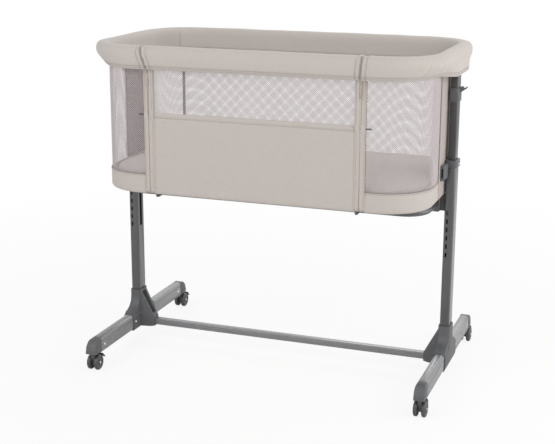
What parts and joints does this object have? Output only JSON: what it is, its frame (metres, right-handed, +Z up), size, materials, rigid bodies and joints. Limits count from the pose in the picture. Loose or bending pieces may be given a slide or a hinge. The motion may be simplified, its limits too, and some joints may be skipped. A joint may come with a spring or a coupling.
{
  "type": "bedside sleeper crib",
  "caption": "Bedside crib with a padded fabric basket, a zipped drop side, two telescopic posts and a wheeled stand.",
  "frame": {"origin": "middle of the footprint, on the floor", "axes": "+X along the crib to its right end, -Y towards the drop side, +Z up"},
  "size_m": [0.9556, 0.6274, 0.876],
  "materials": {
    "foot_metal": "satin",
    "post_metal": "satin",
    "tube_metal": "satin",
    "dark_moulding": "matte",
    "pale_moulding": "satin",
    "collar_moulding": "matte",
    "inner_metal": "satin",
    "wheel": "matte",
    "pedal": "matte",
    "board": "matte",
    "wall_cloth": "matte",
    "rim_cloth": "matte",
    "net_cloth": "matte",
    "mattress_cloth": "matte",
    "zip_metal": "satin"
  },
  "bodies": {
    "stand": {"foot_left": "foot_metal", "junction_left": "dark_moulding", "outer_post_left": "post_metal", "post_collar_left": "collar_moulding", "foot_cap_front_left": "dark_moulding", "foot_cap_rear_left": "dark_moulding", "foot_right": "foot_metal", "junction_right": "dark_moulding", "outer_post_right": "post_metal", "post_collar_right": "collar_moulding", "foot_cap_front_right": "dark_moulding", "foot_cap_rear_right": "dark_moulding", "crossbar": "foot_metal", "stand_screws": "zip_metal"},
    "basket": {"inner_post_left": "inner_metal", "upper_collar_left": "collar_moulding", "bracket_left": "dark_moulding", "zip_strip_left": "wall_cloth", "corner_mesh_left": "net_cloth", "end_panel_left": "wall_cloth", "inner_post_right": "inner_metal", "upper_collar_right": "collar_moulding", "bracket_right": "dark_moulding", "zip_strip_right": "wall_cloth", "corner_mesh_right": "net_cloth", "end_panel_right": "wall_cloth", "base_loop": "tube_metal", "support_wires": "zip_metal", "base_board": "board", "mattress": "mattress_cloth", "frame_rods": "tube_metal", "pivot_pins": "zip_metal", "rim_frame": "zip_metal", "rim_padding": "rim_cloth", "front_panel": "wall_cloth", "rear_mesh": "net_cloth", "lower_band": "wall_cloth", "side_clips": "collar_moulding"},
    "drop_side": {"drop_frame": "zip_metal", "front_rim_padding": "rim_cloth", "front_window": "net_cloth"},
    "zip_left": {"zip_slider_left": "zip_metal"},
    "lever_left": {"height_lever_left": "collar_moulding"},
    "button_left": {"release_button_left": "pale_moulding"},
    "caster_front_left": {"caster_fork_front_left": "dark_moulding"},
    "wheels_front_left": {"caster_wheels_front_left": "wheel"},
    "brake_front_left": {"caster_brake_front_left": "pedal"},
    "caster_rear_left": {"caster_fork_rear_left": "dark_moulding"},
    "wheels_rear_left": {"caster_wheels_rear_left": "wheel"},
    "brake_rear_left": {"caster_brake_rear_left": "pedal"},
    "zip_right": {"zip_slider_right": "zip_metal"},
    "lever_right": {"height_lever_right": "collar_moulding"},
    "button_right": {"release_button_right": "pale_moulding"},
    "caster_front_right": {"caster_fork_front_right": "dark_moulding"},
    "wheels_front_right": {"caster_wheels_front_right": "wheel"},
    "brake_front_right": {"caster_brake_front_right": "pedal"},
    "caster_rear_right": {"caster_fork_rear_right": "dark_moulding"},
    "wheels_rear_right": {"caster_wheels_rear_right": "wheel"},
    "brake_rear_right": {"caster_brake_rear_right": "pedal"}
  },
  "joints": [
    {"name": "height_slide", "type": "slide", "parent": "stand", "child": "basket", "axis": [0, 0, 1], "range_m": [-0.1115, 0]},
    {"name": "drop_side_hinge", "type": "hinge", "parent": "basket", "child": "drop_side", "pos_m": [0, -0.27525, 0.703], "axis": [1, 0, 0], "range_deg": [0, 165]},
    {"name": "zip_left_slide", "type": "slide", "parent": "basket", "child": "zip_left", "axis": [0, 0, 1], "range_m": [-0.085, 0]},
    {"name": "lever_left_hinge", "type": "hinge", "parent": "basket", "child": "lever_left", "pos_m": [-0.4638, -0.01475, 0.774], "axis": [0, 1, 0], "range_deg": [0, 35], "stiffness_Nm_per_rad": 0.05},
    {"name": "button_left_press", "type": "slide", "parent": "stand", "child": "button_left", "axis": [1, 0, 0], "range_m": [0, 0.003], "stiffness_N_per_m": 400},
    {"name": "swivel_front_left", "type": "hinge", "parent": "stand", "child": "caster_front_left", "pos_m": [-0.448, -0.29775, 0.05], "axis": [0, 0, 1], "continuous": true},
    {"name": "roll_front_left", "type": "hinge", "parent": "caster_front_left", "child": "wheels_front_left", "pos_m": [-0.448, -0.28775, 0.021], "axis": [1, 0, 0], "continuous": true},
    {"name": "brake_front_left_tilt", "type": "hinge", "parent": "caster_front_left", "child": "brake_front_left", "pos_m": [-0.448, -0.28675, 0.0365], "axis": [1, 0, 0], "range_deg": [-12, 0], "stiffness_Nm_per_rad": 0.02},
    {"name": "swivel_rear_left", "type": "hinge", "parent": "stand", "child": "caster_rear_left", "pos_m": [-0.448, 0.26825, 0.05], "axis": [0, 0, 1], "continuous": true},
    {"name": "roll_rear_left", "type": "hinge", "parent": "caster_rear_left", "child": "wheels_rear_left", "pos_m": [-0.448, 0.27825, 0.021], "axis": [1, 0, 0], "continuous": true},
    {"name": "brake_rear_left_tilt", "type": "hinge", "parent": "caster_rear_left", "child": "brake_rear_left", "pos_m": [-0.448, 0.27925, 0.0365], "axis": [1, 0, 0], "range_deg": [-12, 0], "stiffness_Nm_per_rad": 0.02},
    {"name": "zip_right_slide", "type": "slide", "parent": "basket", "child": "zip_right", "axis": [0, 0, 1], "range_m": [-0.085, 0]},
    {"name": "lever_right_hinge", "type": "hinge", "parent": "basket", "child": "lever_right", "pos_m": [0.4638, -0.01475, 0.774], "axis": [0, -1, 0], "range_deg": [0, 35], "stiffness_Nm_per_rad": 0.05},
    {"name": "button_right_press", "type": "slide", "parent": "stand", "child": "button_right", "axis": [-1, 0, 0], "range_m": [0, 0.003], "stiffness_N_per_m": 400},
    {"name": "swivel_front_right", "type": "hinge", "parent": "stand", "child": "caster_front_right", "pos_m": [0.448, -0.29775, 0.05], "axis": [0, 0, 1], "continuous": true},
    {"name": "roll_front_right", "type": "hinge", "parent": "caster_front_right", "child": "wheels_front_right", "pos_m": [0.448, -0.28775, 0.021], "axis": [1, 0, 0], "continuous": true},
    {"name": "brake_front_right_tilt", "type": "hinge", "parent": "caster_front_right", "child": "brake_front_right", "pos_m": [0.448, -0.28675, 0.0365], "axis": [1, 0, 0], "range_deg": [-12, 0], "stiffness_Nm_per_rad": 0.02},
    {"name": "swivel_rear_right", "type": "hinge", "parent": "stand", "child": "caster_rear_right", "pos_m": [0.448, 0.26825, 0.05], "axis": [0, 0, 1], "continuous": true},
    {"name": "roll_rear_right", "type": "hinge", "parent": "caster_rear_right", "child": "wheels_rear_right", "pos_m": [0.448, 0.27825, 0.021], "axis": [1, 0, 0], "continuous": true},
    {"name": "brake_rear_right_tilt", "type": "hinge", "parent": "caster_rear_right", "child": "brake_rear_right", "pos_m": [0.448, 0.27925, 0.0365], "axis": [1, 0, 0], "range_deg": [-12, 0], "stiffness_Nm_per_rad": 0.02}
  ]
}
